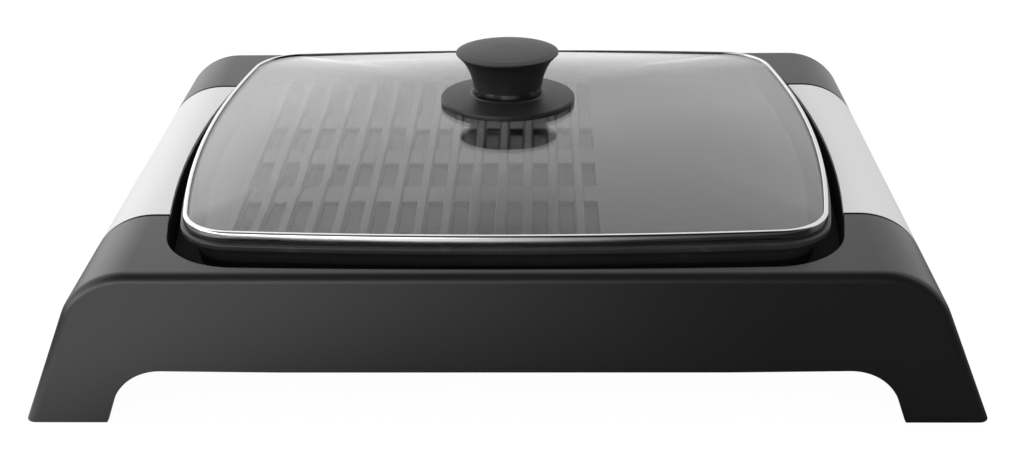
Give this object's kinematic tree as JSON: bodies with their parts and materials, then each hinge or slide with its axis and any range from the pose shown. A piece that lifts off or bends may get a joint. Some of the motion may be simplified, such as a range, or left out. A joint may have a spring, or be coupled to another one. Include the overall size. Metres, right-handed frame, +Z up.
{
  "type": "electric grill",
  "caption": "Low electric table grill: a black base with silver side panels, a ribbed and flat coated plate, and a domed glass lid with a steel rim and a waisted knob.",
  "frame": {"origin": "on the table, under the middle of the body", "axes": "+X to the right along the long side, where the plate is flat, -Y to the front, +Z up"},
  "size_m": [0.48, 0.312, 0.1404],
  "materials": {
    "black_plastic": "satin black moulded plastic",
    "silver_plastic": "silver painted plastic",
    "coated_cast_aluminium": "black non-stick coating on cast metal",
    "polished_steel": "polished stainless steel",
    "plated_steel": "zinc-plated sheet and screws",
    "element_sheath": "heat-darkened steel tube",
    "tempered_glass": "clear tempered glass",
    "black_rubber": "matte rubber",
    "grey_silicone": "matte silicone",
    "white_ceramic": "unglazed steatite"
  },
  "bodies": {
    "base": {"base_housing": "black_plastic", "bottom_cover": "black_plastic", "cover_screw_1": "plated_steel", "cover_screw_2": "plated_steel", "cover_screw_3": "plated_steel", "cover_screw_4": "plated_steel", "cover_screw_5": "plated_steel", "cover_screw_6": "plated_steel", "foot_pad_back_left": "black_rubber", "foot_pad_back_right": "black_rubber", "foot_pad_front_left": "black_rubber", "foot_pad_front_right": "black_rubber", "heat_reflector": "plated_steel", "inlet_shroud": "black_plastic", "panel_screw_back_left": "plated_steel", "panel_screw_back_right": "plated_steel", "panel_screw_front_left": "plated_steel", "panel_screw_front_right": "plated_steel", "plate_seat_back_left": "grey_silicone", "plate_seat_back_right": "grey_silicone", "plate_seat_front_left": "grey_silicone", "plate_seat_front_right": "grey_silicone", "reflector_screw_1": "plated_steel", "reflector_screw_2": "plated_steel", "reflector_screw_3": "plated_steel", "reflector_screw_4": "plated_steel", "side_panel_left": "silver_plastic", "side_panel_right": "silver_plastic"},
    "tray": {"drip_tray": "black_plastic"},
    "plate": {"grill_plate": "coated_cast_aluminium", "heating_element": "element_sheath", "terminal_guard": "plated_steel", "probe_socket": "plated_steel", "ceramic_bush_left": "white_ceramic", "ceramic_bush_right": "white_ceramic", "clip_screw_1": "plated_steel", "clip_screw_2": "plated_steel", "clip_screw_3": "plated_steel", "element_clip_1": "plated_steel", "element_clip_2": "plated_steel", "element_clip_3": "plated_steel", "guard_screw_1": "plated_steel", "guard_screw_2": "plated_steel", "terminal_pin_left": "plated_steel", "terminal_pin_right": "plated_steel"},
    "lid": {"lid_rim": "polished_steel", "lid_glass": "tempered_glass", "knob_base": "black_plastic", "knob_ring": "plated_steel", "knob_cap": "black_plastic", "knob_gasket": "grey_silicone", "knob_washer": "plated_steel", "knob_screw": "plated_steel"}
  },
  "joints": [
    {"name": "tray_slide", "type": "slide", "parent": "base", "child": "tray", "axis": [0, 1, 0], "range_m": [0, 0.29]},
    {"name": "plate_lift", "type": "slide", "parent": "base", "child": "plate", "axis": [0, 0, 1], "range_m": [0, 0.08]},
    {"name": "lid_lift", "type": "slide", "parent": "plate", "child": "lid", "axis": [0, 0, 1], "range_m": [0, 0.1]}
  ]
}
